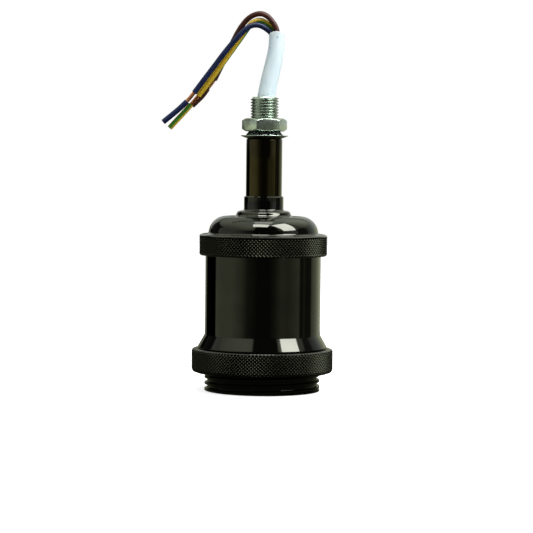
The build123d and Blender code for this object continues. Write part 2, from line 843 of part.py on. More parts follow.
# The three cores lie in a triangle in the jacket
core_triangle = (core_diameter + core_spacing) / sqrt(3)


def core_place(angle):
    """Place of a core across the jacket, at an angle from the right."""
    return (core_triangle * cos(radians(angle)), core_triangle * sin(radians(angle)))


# Stripped cores above the jacket: angle at which each leaves, then its route to the left and down
core_exits = {"blue": 160.0, "earth": 40.0, "brown": 280.0}
core_rises = {"blue": 1.8, "earth": 2.7, "brown": 2.6}
core_arches = {
    "blue": [
        (1.1, -0.4, 126.6),
        (-1.8, -1.1, 128.1),
        (-4.3, -1.5, 127.8),
        (-7.0, -1.6, 125.4),
        (-9.8, -1.5, 122.0),
        (-13.4, -1.4, 117.3),
        (-17.4, -1.2, 113.1),
        (-21.3, -1.0, 108.3),
        (-24.5, -0.9, 104.0),
    ],
    "earth": [
        (2.9, 1.1, 128.1),
        (-0.6, 0.9, 129.6),
        (-3.4, 0.8, 129.3),
        (-5.7, 0.7, 126.5),
        (-8.3, 0.7, 122.0),
        (-12.3, 0.7, 116.4),
        (-16.3, 0.75, 111.2),
        (-20.0, 0.8, 106.2),
        (-23.5, 0.85, 102.3),
    ],
    "brown": [
        (2.6, -1.2, 129.6),
        (0.4, -0.7, 131.7),
        (-2.6, 0.3, 132.1),
        (-6.2, 1.6, 129.8),
        (-9.0, 2.4, 126.0),
        (-11.8, 2.8, 121.6),
        (-14.3, 2.9, 115.8),
        (-15.7, 2.8, 111.7),
        (-17.4, 2.6, 108.2),
    ],
}
bare_lengths = {"blue": 4.2, "earth": 3.6, "brown": 3.7}
slug_tails = {
    "blue": [(-31.4, -0.8, 97.2), (-35.2, -0.8, 93.4)],
    "earth": [(-29.4, 0.9, 95.5), (-33.1, 0.9, 91.1)],
    "brown": [(-22.2, 2.6, 101.7), (-25.6, 2.6, 99.2)],
}
for colour, arch in core_arches.items():
    across, behind = core_place(core_exits[colour])
    foot = (jacket_top_x + across, behind, jacket_top)
    rise = (jacket_top_x + across, behind, jacket_top + core_rises[colour])
    insulation = cord_tube(f"{colour}_core", [foot, rise, *arch], core_diameter)
    insulation.part.label = f"{colour}_core"
    export_step(insulation.part, f"parts/{colour}_core.step")

    core_end = Vector(*arch[-1])
    heading = (core_end - Vector(*arch[-2])).normalized()
    slug_start = core_end + heading * bare_lengths[colour]
    bare_copper = cord_tube(f"{colour}_copper", [core_end, slug_start], copper_diameter)
    bare_copper.part.label = f"{colour}_copper"
    export_step(bare_copper.part, f"parts/{colour}_copper.step")

    slug_route = [slug_start, slug_start + heading * slug_straight, *slug_tails[colour]]
    slug = cord_tube(f"{colour}_slug", slug_route, core_diameter)
    slug.part.label = f"{colour}_slug"
    export_step(slug.part, f"parts/{colour}_slug.step")


def lead_route(leaves_at, arrives_at, end_radius, end_z):
    """Route inside the cap, from the foot of the jacket to the hole of a terminal."""
    start = Vector(*core_place(leaves_at))
    arrival = Vector(1, 0, 0).rotate(Axis.Z, arrives_at) * end_radius
    drop = jacket_foot - end_z
    route = []
    for outward, height in lead_shares:
        place = start * (1 - outward) + arrival * outward
        route.append((place.X, place.Y, end_z + drop * height))
    return route


# Leads inside the cap: share of the way out and share of the drop still left at each point
lead_shares = ((0.0, 1.0), (0.0, 0.66), (0.2, 0.28), (0.56, 0.05), (1.0, 0.0))
lead_plan = {
    "brown_lead": lead_route(330, 0, terminal_inner, terminal_hole_z),
    "blue_lead": lead_route(210, 180, terminal_inner, terminal_hole_z),
    "earth_lead": lead_route(90, 90, earth_block_inner, earth_hole_z),
}
for name, route in lead_plan.items():
    lead = cord_tube(name, route, core_diameter)
    lead.part.label = name
    export_step(lead.part, f"parts/{name}.step")
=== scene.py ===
import math

import bpy
from mathutils import Matrix, Vector


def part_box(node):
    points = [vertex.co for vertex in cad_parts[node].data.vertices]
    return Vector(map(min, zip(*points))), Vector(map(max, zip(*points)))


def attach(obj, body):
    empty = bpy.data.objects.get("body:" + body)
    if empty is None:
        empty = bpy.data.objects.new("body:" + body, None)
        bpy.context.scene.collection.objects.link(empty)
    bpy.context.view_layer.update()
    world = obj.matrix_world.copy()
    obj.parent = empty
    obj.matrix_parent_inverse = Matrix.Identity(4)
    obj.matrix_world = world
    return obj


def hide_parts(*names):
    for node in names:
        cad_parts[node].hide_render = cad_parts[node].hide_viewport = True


# Lamp holder for a 27 mm screw base, polished black nickel over brass, with a white three-core flex.
# Lengths are in millimetres and become metres where they are used; only the studio's are in metres.
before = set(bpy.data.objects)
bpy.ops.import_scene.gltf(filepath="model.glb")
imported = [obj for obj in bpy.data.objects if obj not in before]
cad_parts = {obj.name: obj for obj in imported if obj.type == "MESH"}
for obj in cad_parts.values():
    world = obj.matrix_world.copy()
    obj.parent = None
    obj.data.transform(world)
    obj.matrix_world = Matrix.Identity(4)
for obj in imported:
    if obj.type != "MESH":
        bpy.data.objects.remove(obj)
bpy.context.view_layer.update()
scene = bpy.context.scene
scene.view_settings.view_transform = "Standard"
MM = 0.001
# How close two vertices lie to be merged, and the angle that one facet of a rounded corner takes
MERGE_REACH = 0.001 * MM
CORNER_FACET = math.radians(7)

# Camera: about level with the washers, 0.75 m in front, the holder leaning a little to the right
camera_distance = 750.0
camera_height = 83.0
picture_middle = (1.2, 0.0, 43.2)
picture_pixels = 533
mm_per_pixel = 0.3487
picture_width = picture_pixels * mm_per_pixel
camera_roll = 0.6

camera_data = bpy.data.cameras.new("camera")
camera_data.sensor_width = 36.0
camera_place = Vector((picture_middle[0], -camera_distance, camera_height)) * MM
camera_aim = Vector(picture_middle) * MM
camera_data.lens = 36.0 * (camera_aim - camera_place).length / (picture_width * MM)
camera_data.clip_start = 0.01
camera_data.clip_end = 20.0
camera = bpy.data.objects.new("camera", camera_data)
scene.collection.objects.link(camera)
looking = (camera_aim - camera_place).to_track_quat("-Z", "Y").to_matrix().to_4x4()
leaning = Matrix.Rotation(math.radians(camera_roll), 4, "Z")
camera.matrix_world = Matrix.Translation(camera_place) @ looking @ leaning
scene.camera = camera


# Modelling helpers
def work_on(piece):
    """Makes one piece the only selected and the active one."""
    if bpy.context.object and bpy.context.object.mode != "OBJECT":
        bpy.ops.object.mode_set(mode="OBJECT")
    bpy.ops.object.select_all(action="DESELECT")
    if piece:
        piece.select_set(True)
        bpy.context.view_layer.objects.active = piece


def pick(piece, chosen, kind="VERT"):
    """Goes into edit mode with just the chosen vertices or faces of the active piece selected."""
    bpy.ops.object.mode_set(mode="EDIT")
    bpy.ops.mesh.select_mode(type=kind)
    bpy.ops.mesh.select_all(action="DESELECT")
    bpy.ops.object.mode_set(mode="OBJECT")
    parts = piece.data.vertices if kind == "VERT" else piece.data.polygons
    for part in parts:
        part.select = chosen(part)
    bpy.ops.object.mode_set(mode="EDIT")


def close_up(piece, smooth_angle):
    """Merges doubles, turns the normals outwards and shades smooth up to an angle."""
    work_on(piece)
    bpy.ops.object.mode_set(mode="EDIT")
    bpy.ops.mesh.select_mode(type="VERT")
    bpy.ops.mesh.select_all(action="SELECT")
    bpy.ops.mesh.remove_doubles(threshold=MERGE_REACH)
    bpy.ops.mesh.normals_make_consistent(inside=False)
    bpy.ops.object.mode_set(mode="OBJECT")
    bpy.ops.object.shade_smooth_by_angle(angle=math.radians(smooth_angle))


def draw_profile(name, profile, rounds):
    """A line of edges in the XZ plane, drawn by extruding one vertex. The profile is a list of
    (radius, height), and rounds gives the radius of a corner by its number."""
    work_on(None)
    radius, height = profile[0]
    bpy.ops.mesh.primitive_plane_add(size=MM, location=(radius * MM, 0, height * MM))
    piece = bpy.context.object
    piece.name = name
    bpy.ops.object.transform_apply(location=True, rotation=True, scale=True)
    bpy.ops.object.mode_set(mode="EDIT")
    bpy.ops.mesh.select_mode(type="VERT")
    bpy.ops.mesh.select_all(action="SELECT")
    bpy.ops.mesh.merge(type="CENTER")
    for here, after in zip(profile, profile[1:]):
        step = ((after[0] - here[0]) * MM, 0, (after[1] - here[1]) * MM)
        bpy.ops.mesh.extrude_region_move(TRANSFORM_OT_translate={"value": step})
    bpy.ops.mesh.select_all(action="SELECT")
    bpy.ops.mesh.remove_doubles(threshold=MERGE_REACH)
    corners = profile[:-1] if profile[0] == profile[-1] else profile
    for place, radius in rounds.items():
        before, here, after = (Vector(corners[(place + shift) % len(corners)]) for shift in (-1, 0, 1))
        turn = (here - before).angle(after - here)
        offset = radius * math.tan(turn / 2) * MM
        corner = Vector((here.x * MM, 0, here.y * MM))
        pick(piece, lambda vertex: (vertex.co - corner).length < 2 * MERGE_REACH)
        bpy.ops.mesh.bevel(offset=offset, segments=max(3, round(turn / CORNER_FACET)), affect="VERTICES")
    bpy.ops.object.mode_set(mode="OBJECT")
    return piece


def turned(name, profile, rounds, steps, smooth_angle=32):
    """A piece turned on the holder's axis from a closed profile of (radius, height)."""
    piece = draw_profile(name, profile + [profile[0]], rounds)
    bpy.ops.object.mode_set(mode="EDIT")
    bpy.ops.mesh.select_all(action="SELECT")
    bpy.ops.mesh.spin(steps=steps, angle=math.tau, center=(0, 0, 0), axis=(0, 0, 1))
    close_up(piece, smooth_angle)
    return piece


def arc_points(centre, across, up, start, end, count):
    """Points along part of an ellipse in the profile plane, from one angle to another in degrees."""
    points = []
    for step in range(count + 1):
        angle = math.radians(start + (end - start) * step / count)
        points.append((centre[0] + across * math.cos(angle), centre[1] + up * math.sin(angle)))
    return points


# Reach round a knurl's rows: of a vertex on a row, of the faces between rows, of the coated faces
ON_ROW = 0.03
IN_BAND = 0.55
IN_COAT = 0.6


def in_rows(rows, place, reach):
    """Number of the row whose (radius, height) lies within reach of a point of the piece, or None."""
    here = Vector((math.hypot(place.x, place.y), place.z)) / MM
    for number, row in enumerate(rows):
        if (here - Vector(row)).length < reach:
            return number
    return None


def knurled(piece, rows, columns, growth):
    """Pushes every other vertex of the rows outwards and splits the faces between them along the
    valleys, so that two crossing sets of grooves leave a field of small pyramids."""
    spacing = math.tau / columns

    def is_crest(vertex):
        row = in_rows(rows, vertex.co, ON_ROW)
        if row is None:
            return False
        column = round(math.atan2(vertex.co.y, vertex.co.x) / spacing)
        return (column + row) % 2 == 0

    work_on(piece)
    pick(piece, is_crest)
    bpy.ops.transform.resize(value=(growth, growth, 1), center_override=(0, 0, 0))
    bpy.ops.object.mode_set(mode="OBJECT")
    pick(piece, lambda face: in_rows(rows, face.center, IN_BAND) is not None, "FACE")
    bpy.ops.mesh.quads_convert_to_tris(quad_method="SHORTEST_DIAGONAL", ngon_method="BEAUTY")
    close_up(piece, smooth_angle=24)


def screw_thread(name, profile, pitch, start, turns, steps):
    """A thread: the closed profile of its ridge, given round a height of 0, wound up round the axis
    from the start height in so many turns of so many steps, with both ends closed."""
    shifted = [(radius, height + start) for radius, height in profile]
    piece = draw_profile(name, shifted + [shifted[0]], {})
    winding = piece.modifiers.new("winding", "SCREW")
    winding.axis = "Z"
    winding.angle = math.tau
    winding.screw_offset = pitch * MM
    winding.iterations = turns
    winding.steps = steps
    winding.render_steps = steps
    winding.use_merge_vertices = False
    bpy.ops.object.modifier_apply(modifier="winding")
    bpy.ops.object.mode_set(mode="EDIT")
    bpy.ops.mesh.select_all(action="SELECT")
    bpy.ops.mesh.remove_doubles(threshold=MERGE_REACH)
    bpy.ops.mesh.select_all(action="DESELECT")
    bpy.ops.mesh.select_mode(type="EDGE")
    bpy.ops.mesh.select_non_manifold()
    bpy.ops.mesh.edge_face_add()
    bpy.ops.object.mode_set(mode="OBJECT")
    return piece


def trimmed(piece, height, keep_above, smooth_angle=40):
    """Cuts a piece off square at a height and closes the cut."""
    work_on(piece)
    bpy.ops.object.mode_set(mode="EDIT")
    bpy.ops.mesh.select_all(action="SELECT")
    bpy.ops.mesh.bisect(
        plane_co=(0, 0, height * MM),
        plane_no=(0, 0, 1),
        use_fill=True,
        threshold=MERGE_REACH,
        clear_inner=keep_above,
        clear_outer=not keep_above,
    )
    close_up(piece, smooth_angle)


def rounded_off(piece, width, segments, edge_angle, smooth_angle):
    """Rounds the edges that are sharper than an angle."""
    work_on(piece)
    soft = piece.modifiers.new("soft_edges", "BEVEL")
    soft.width = width * MM
    soft.segments = segments
    soft.limit_method = "ANGLE"
    soft.angle_limit = math.radians(edge_angle)
    bpy.ops.object.modifier_apply(modifier="soft_edges")
    bpy.ops.object.shade_smooth_by_angle(angle=math.radians(smooth_angle))


def softened(node, width):
    """A copy of a node's shape with its triangles joined into whole faces and its edges rounded."""
    piece = bpy.data.objects.new(f"rounded_{node}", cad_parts[node].data.copy())
    scene.collection.objects.link(piece)
    work_on(piece)
    bpy.ops.object.mode_set(mode="EDIT")
    bpy.ops.mesh.select_mode(type="VERT")
    bpy.ops.mesh.select_all(action="SELECT")
    bpy.ops.mesh.remove_doubles(threshold=MERGE_REACH)
    bpy.ops.mesh.dissolve_limited(angle_limit=math.radians(1))
    bpy.ops.object.mode_set(mode="OBJECT")
    rounded_off(piece, width, segments=2, edge_angle=32, smooth_angle=40)
    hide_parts(node)
    return piece


# Cords: the jacket of the flex, whose width changes along it as the photo shows
jacket_route = [
    (0.0, 0.0, 53.5),
    (0.0, 0.0, 62.5),
    (-0.25, -0.1, 75.5),
    (-0.3, 0.1, 88.5),
    (-0.1, 0.0, 99.2),
    (1.6, 0.0, 108.2),
    (2.9, 0.0, 113.6),
    (3.7, 0.0, 118.0),
    (4.0, 0.0, 121.5),
    (3.95, 0.0, 126.5),
]
jacket_widths = [5.8, 5.8, 5.8, 5.8, 6.1, 6.15, 5.9, 5.6, 5.4, 5.4]
jacket_wall = 0.6
jacket_mouth_depth = 1.0
jacket_mouth = (3.95, 0.0, 123.7)
jacket_mouth_facing = (0.0, 0.38, 0.92)
# Only the face of the cut end looks up more than this
cut_end_rise = 0.8

core_diameter = 1.9
core_start = 123.0
# The cores leave the jacket in a triangle: its radius, and the bearing of each core in degrees
core_triangle = 1.18
core_exits = {"blue": 160.0, "earth": 40.0, "brown": 280.0}
core_runs = {
    "blue": [
        (2.3, 0.1, 124.0),
        (0.4, -0.5, 125.7),
        (-2.2, -1.1, 127.0),
        (-5.0, -1.5, 126.8),
        (-7.4, -1.6, 125.0),
        (-10.6, -1.5, 121.6),
        (-14.2, -1.4, 117.2),
        (-18.0, -1.2, 112.0),
        (-21.5, -1.0, 107.4),
        (-24.5, -0.9, 103.3),
    ],
    "earth": [
        (4.1, 0.85, 124.3),
        (1.6, 0.95, 127.0),
        (-1.7, 0.85, 129.0),
        (-4.8, 0.75, 127.9),
        (-6.4, 0.65, 125.5),
        (-9.4, 0.6, 121.2),
        (-13.3, 0.6, 115.7),
        (-17.1, 0.7, 110.3),
        (-20.3, 0.8, 106.0),
        (-23.1, 0.85, 102.3),
    ],
    "brown": [
        (4.1, -1.15, 124.8),
        (3.2, -1.1, 127.1),
        (0.7, -0.5, 130.2),
        (-2.2, 0.5, 131.2),
        (-5.8, 1.8, 129.8),
        (-8.9, 2.6, 126.0),
        (-11.5, 2.8, 120.9),
        (-13.5, 2.8, 116.4),
        (-15.5, 2.8, 112.4),
        (-17.6, 2.6, 108.0),
    ],
}
# Route of each core's end slug, the short piece of insulation at the far end of its bare copper
slug_runs = {
    "blue": [(-27.0, -0.85, 100.3), (-29.1, -0.8, 98.2), (-32.0, -0.8, 95.7), (-35.2, -0.8, 93.1)],
    "earth": [(-25.6, 0.85, 99.3), (-27.3, 0.9, 97.3), (-30.1, 0.9, 94.3), (-33.0, 0.9, 91.1)],
    "brown": [(-20.0, 2.6, 104.9), (-21.3, 2.6, 102.9), (-23.1, 2.6, 101.0), (-25.3, 2.6, 98.9)],
}
# Strands: one turn to each lay, ending a little proud of the slug's cut end
strand_diameter = 0.34
strand_lay = 24.0
strand_proud = 0.06
# Two rings of strands: how many, and their radii in strand diameters
outer_strands, outer_ring = 9, 1.5
inner_strands, inner_ring = 3, 0.6


def cord_curve(name, route, widths):
    """A smooth round cord whose spline has the route's points as its control points."""
    curve = bpy.data.curves.new(name, "CURVE")
    curve.dimensions = "3D"
    curve.resolution_u = 12
    curve.bevel_depth = widths[0] / 2 * MM
    curve.bevel_resolution = 6
    curve.use_fill_caps = True
    spline = curve.splines.new("NURBS")
    spline.points.add(len(route) - 1)
    for point, place, width in zip(spline.points, route, widths):
        point.co = (place[0] * MM, place[1] * MM, place[2] * MM, 1.0)
        point.radius = width / widths[0] if widths[0] else 1.0
    spline.order_u = 3
    spline.use_endpoint_u = True
    piece = bpy.data.objects.new(name, curve)
    scene.collection.objects.link(piece)
    return piece


def strand_bundle(name, route):
    """Bare conductor: an outer and an inner ring of fine strands, laid along the route's smooth spline."""
    guide = cord_curve("strand_guide", route, [0.0] * len(route))
    line = bpy.data.meshes.new_from_object(guide)
    middle = [vertex.co.copy() for vertex in line.vertices]
    bpy.data.objects.remove(guide)
    bpy.data.meshes.remove(line)
    bundle = bpy.data.curves.new(name, "CURVE")
    bundle.dimensions = "3D"
    bundle.bevel_depth = strand_diameter / 2 * MM
    bundle.bevel_resolution = 2
    bundle.use_fill_caps = True
    for strand in range(outer_strands + inner_strands):
        outer = strand < outer_strands
        share = strand / (outer_strands if outer else inner_strands)
        offset = strand_diameter * MM * (outer_ring if outer else inner_ring)
        spline = bundle.splines.new("POLY")
        spline.points.add(len(middle) - 1)
        travelled = 0.0
        for place, here in enumerate(middle):
            before, after = middle[max(place - 1, 0)], middle[min(place + 1, len(middle) - 1)]
            travelled += (here - before).length
            side = Vector((0, 1, 0))
            up = (after - before).cross(side).normalized()
            angle = math.tau * (share + travelled / (strand_lay * MM))
            outwards = side * math.cos(angle) + up * math.sin(angle)
            spline.points[place].co = (*(here + offset * outwards), 1.0)
    piece = bpy.data.objects.new(name, bundle)
    scene.collection.objects.link(piece)
    work_on(piece)
    bpy.ops.object.convert(target="MESH")
    close_up(piece, smooth_angle=50)
    return piece


# The jacket is cut off askew at its mouth, and the cut end sunk to leave its wall standing
jacket = cord_curve("flex_jacket", jacket_route, jacket_widths)
work_on(jacket)
bpy.ops.object.convert(target="MESH")
bpy.ops.object.mode_set(mode="EDIT")
bpy.ops.mesh.select_all(action="SELECT")
bpy.ops.mesh.remove_doubles(threshold=MERGE_REACH)
bpy.ops.mesh.select_all(action="SELECT")
bpy.ops.mesh.bisect(
    plane_co=[value * MM for value in jacket_mouth],
    plane_no=jacket_mouth_facing,
    use_fill=True,
    threshold=MERGE_REACH,
    clear_outer=True,
)
bpy.ops.object.mode_set(mode="OBJECT")
pick(jacket, lambda face: face.normal.z > cut_end_rise, "FACE")
bpy.ops.mesh.inset(thickness=jacket_wall * MM)
bpy.ops.mesh.extrude_region_move(TRANSFORM_OT_translate={"value": (0, 0, -jacket_mouth_depth * MM)})
close_up(jacket, smooth_angle=40)
rounded_off(jacket, 0.16, segments=3, edge_angle=50, smooth_angle=60)

cores = {}
coppers = {}
slugs = {}
core_feet = {}
for colour, run in core_runs.items():
    angle = math.radians(core_exits[colour])
    core_feet[colour] = (
        jacket_mouth[0] + core_triangle * math.cos(angle),
        core_triangle * math.sin(angle),
        core_start,
    )
    core_route = [core_feet[colour], *run]
    cores[colour] = cord_curve(f"{colour}_insulation", core_route, [core_diameter] * len(core_route))
    slug_run = slug_runs[colour]
    slugs[colour] = cord_curve(f"{colour}_end_slug", slug_run, [core_diameter] * len(slug_run))
    core_end, slug_end = Vector(run[-1]), Vector(slug_run[-1])
    inside_core = core_end + (Vector(run[-2]) - core_end).normalized()
    past_slug = slug_end + (slug_end - Vector(slug_run[-2])).normalized() * strand_proud
    copper_route = [inside_core, core_end, *slug_run[:-1], past_slug]
    coppers[colour] = strand_bundle(f"{colour}_bare_copper", copper_route)
    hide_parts(f"{colour}_core")
    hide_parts(f"{colour}_copper")
    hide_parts(f"{colour}_slug")
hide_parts("cable_jacket")


# The metal pieces take their ends and their reach from the CAD nodes that they replace
def foot_of(node):
    """Height of a node's lowest point."""
    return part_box(node)[0][2] / MM


def top_of(node):
    """Height of a node's highest point."""
    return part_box(node)[1][2] / MM


def reach_of(node):
    """Largest radius of a node that is turned on the holder's axis."""
    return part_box(node)[1][0] / MM


# How far a crest of knurling stays inside the CAD's radius, and a ridge's foot sinks into its root
crest_margin = 0.05
foot_sink = 0.05


def ridge(root, crest, foot_half, crest_half):
    """Profile of a thread's ridge round a height of 0, on a foot that is sunk into the root."""
    half = [(root - 2 * foot_sink, foot_half), (root - foot_sink, foot_half), (crest, crest_half)]
    return [(radius, -height) for radius, height in half] + half[::-1]


# Outer body: tube, flare and rim, with a thread at each end
body_radius = 20.1
body_length = top_of("outer_body")
flare_radius = reach_of("outer_body")
flare_foot = 15.0
skirt_root = 19.1
neck_radius = 19.6
upper_bore = 18.9
lower_bore = 17.7
bore_ledge = 29.6
mouth_chamfer = 0.4
body_profile = [
    (lower_bore + mouth_chamfer, 0.0),
    (body_radius, 0.0),
    (body_radius, 0.55),
    (skirt_root, 1.05),
    (skirt_root, flare_foot),
    (flare_radius, flare_foot),
    (flare_radius, 15.3),
    (body_radius, 19.6),
    (body_radius, 48.0),
    (neck_radius, 48.4),
    (neck_radius, body_length),
    (upper_bore, body_length),
    (upper_bore, bore_ledge),
    (lower_bore, bore_ledge),
    (lower_bore, mouth_chamfer),
]
outer_body = turned("outer_body_shell", body_profile, {6: 0.12, 7: 0.5, 8: 0.3}, steps=192)
skirt_ridge = ridge(skirt_root, body_radius, foot_half=0.8, crest_half=0.28)
skirt_thread = screw_thread("skirt_thread", skirt_ridge, pitch=2.1, start=-2.75, turns=9, steps=144)
trimmed(skirt_thread, 0.3, keep_above=True)
trimmed(skirt_thread, flare_foot - 0.1, keep_above=False)
cap_bottom = foot_of("top_cap")
cap_ridge = ridge(neck_radius, body_radius, foot_half=0.7, crest_half=0.12)
cap_thread = screw_thread("cap_thread", cap_ridge, pitch=1.5, start=cap_bottom, turns=4, steps=144)
trimmed(cap_thread, 48.3, keep_above=True)
trimmed(cap_thread, body_length - 0.2, keep_above=False)

# Shade ring: knurled band that runs over its rounded lower edge
ring_root = 24.3
ring_crest = reach_of("shade_ring") - crest_margin
ring_bottom = foot_of("shade_ring")
ring_top = top_of("shade_ring")
ring_bore = 20.3
bore_chamfer = 0.6
ring_low_edge = 1.5
ring_high_edge = 1.0
low_centre = (ring_root - ring_low_edge, ring_bottom + ring_low_edge)
high_centre = (ring_root - ring_high_edge, ring_top - ring_high_edge)
ring_row_step = 0.59
ring_columns = 240
ring_rows = (
    arc_points(low_centre, ring_low_edge, ring_low_edge, -46, -23, 1)
    + [(ring_root, low_centre[1] + ring_row_step * row) for row in range(11)]
    + arc_points(high_centre, ring_high_edge, ring_high_edge, 34, 60, 1)[:1]
)
ring_profile = (
    [(ring_bore + bore_chamfer, ring_bottom)]
    + arc_points(low_centre, ring_low_edge, ring_low_edge, -90, -68, 1)
    + ring_rows
    + arc_points(high_centre, ring_high_edge, ring_high_edge, 60, 90, 1)
    + [(ring_bore + bore_chamfer, ring_top), (ring_bore, ring_top - bore_chamfer)]
    + [(ring_bore, ring_bottom + bore_chamfer)]
)
shade_ring = turned("knurled_shade_ring", ring_profile, {}, steps=ring_columns, smooth_angle=24)
knurled(shade_ring, ring_rows, ring_columns, growth=ring_crest / ring_root)

# Top cap: knurled skirt, dome, bead and collar
cap_root = 21.95
cap_crest = reach_of("top_cap") - crest_margin
cap_skirt_bore = 20.25
cap_ceiling = 53.2
dome_centre = (13.1, 54.6)
collar_bore = 5.0
collar_top = top_of("top_cap")
cap_row_step = 0.63
cap_columns = 216
cap_rows = [(cap_root, 47.95 + cap_row_step * row) for row in range(10)]
cap_profile = (
    [(cap_skirt_bore, cap_ceiling), (cap_skirt_bore, cap_bottom), (21.85, cap_bottom), (22.15, 47.4)]
    + cap_rows
    + [(22.2, 54.0), (21.85, 54.3), (21.2, 54.5), (19.8, 54.6)]
    + arc_points((19.8, 55.3), 0.7, 0.7, 260, 195, 4)
    + arc_points(dome_centre, 6.0, 6.1, 8, 88, 18)
    + [(11.4, 60.75), (10.3, 60.8), (9.8, 60.95), (9.55, 61.25)]
    + arc_points((8.1, 61.5), 1.3, 1.1, 5, 85, 8)
    + arc_points((7.75, 63.4), 0.9, 0.75, 265, 190, 5)
    + [(6.85, 67.4), (6.55, collar_top), (collar_bore, collar_top), (collar_bore, 59.3), (13.1, 59.3)]
    + arc_points(dome_centre, 4.6, 4.7, 80, 0, 8)
    + [(17.7, cap_ceiling)]
)
top_cap = turned("knurled_top_cap", cap_profile, {}, steps=cap_columns, smooth_angle=28)
knurled(top_cap, cap_rows, cap_columns, growth=cap_crest / cap_root)

# Hole for the grub screw in the back of the collar
grub_low, grub_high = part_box("locking_screw")
grub_clearance = 0.05
work_on(None)
bpy.ops.mesh.primitive_cylinder_add(
    vertices=48,
    radius=grub_high[0] + grub_clearance * MM,
    depth=4 * MM,
    location=(0, grub_high[1], (grub_low[2] + grub_high[2]) / 2),
    rotation=(math.pi / 2, 0, 0),
)
grub_drill = bpy.context.object
work_on(top_cap)
drilling = top_cap.modifiers.new("grub_hole", "BOOLEAN")
drilling.operation = "DIFFERENCE"
drilling.object = grub_drill
bpy.ops.object.modifier_apply(modifier="grub_hole")
bpy.ops.object.shade_smooth_by_angle(angle=math.radians(28))
bpy.data.objects.remove(grub_drill)

# Stem, and the threaded tube with its thread of 1 mm pitch
stem_bore = 5.2
stem_radius = reach_of("stem_tube")
stem_top = top_of("stem_tube")
stem_profile = [
    (stem_bore, collar_top),
    (stem_radius, collar_top),
    (stem_radius, stem_top),
    (stem_bore, stem_top),
]
stem_tube = turned("stem_sleeve", stem_profile, {2: 0.5}, steps=128)
tube_bore = 3.5
tube_root = 4.35
tube_crest = reach_of("nipple")
tube_foot = foot_of("nipple")
tube_top = top_of("nipple")
tube_profile = [
    (tube_bore, tube_foot),
    (tube_root, tube_foot),
    (tube_root, tube_top - 0.4),
    (4.0, tube_top),
    (tube_bore, tube_top),
]
nipple = turned("threaded_tube", tube_profile, {}, steps=96)
tube_ridge = [(tube_root - 0.1, -0.46), (tube_crest, -0.08), (tube_crest, 0.08), (tube_root - 0.1, 0.46)]
nipple_thread = screw_thread("threaded_tube_thread", tube_ridge, pitch=1.0, start=53.7, turns=49, steps=64)
trimmed(nipple_thread, tube_foot + 0.3, keep_above=True)
trimmed(nipple_thread, tube_top - 0.3, keep_above=False)

for piece, node in [
    (outer_body, "outer_body"),
    (skirt_thread, "outer_body"),
    (cap_thread, "outer_body"),
    (shade_ring, "shade_ring"),
    (top_cap, "top_cap"),
    (stem_tube, "stem_tube"),
    (nipple, "nipple"),
    (nipple_thread, "nipple"),
]:
    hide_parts(node)

# Small metal and the porcelain, with the soft edges that plating, stamping and glaze leave
edge_rounds = {
    "mounting_nut": 0.3,
    "inner_locknut": 0.14,
    "flat_washer": 0.05,
    "tooth_washer": 0.06,
    "bridge": 0.12,
    "bridge_screws": 0.1,
    "locking_screw": 0.08,
    "live_terminal": 0.12,
    "live_terminal_screw": 0.1,
    "neutral_terminal": 0.12,
    "neutral_terminal_screw": 0.1,
    "earth_terminal": 0.12,
    "earth_screw": 0.1,
    "shell_rivets": 0.15,
    "centre_contact": 0.08,
    "porcelain_core": 0.25,
}
rounded = {node: softened(node, width) for node, width in edge_rounds.items()}


# Materials
def linear(hex_colour):
    """An sRGB hex value as the linear colour that a shader socket takes."""
    channels = [int(hex_colour[place : place + 2], 16) / 255 for place in (0, 2, 4)]
    bent = [c / 12.92 if c <= 0.04045 else ((c + 0.055) / 1.055) ** 2.4 for c in channels]
    return (*bent, 1.0)


def add_node(tree, kind, inputs, **settings):
    """Adds a node with its settings; an input's value is either a number or a socket to link from."""
    made = tree.nodes.new(kind)
    for name, value in settings.items():
        setattr(made, name, value)
    for name, value in inputs.items():
        if isinstance(value, bpy.types.NodeSocket):
            tree.links.new(value, made.inputs[name])
        else:
            made.inputs[name].default_value = value
    return made


def new_material(name):
    """A material with one Principled shader; gives the material, its nodes and the shader."""
    material = bpy.data.materials.new(name)
    material.use_nodes = True
    tree = material.node_tree
    tree.nodes.clear()
    shader = add_node(tree, "ShaderNodeBsdfPrincipled", {})
    add_node(tree, "ShaderNodeOutputMaterial", {"Surface": shader.outputs["BSDF"]})
    return material, tree, shader


def mottled(tree, vector, size, dark, light):
    """A colour that drifts between two tones over patches of a size in millimetres."""
    drift = add_node(
        tree, "ShaderNodeTexNoise", {"Vector": vector, "Scale": 1 / (size * MM), "Detail": 3.0}
    )
    spread = add_node(
        tree, "ShaderNodeMapRange", {"Value": drift.outputs["Fac"], "From Min": 0.35, "From Max": 0.65}
    )
    return add_node(
        tree,
        "ShaderNodeMix",
        {0: spread.outputs["Result"], 6: linear(dark), 7: linear(light)},
        data_type="RGBA",
    )


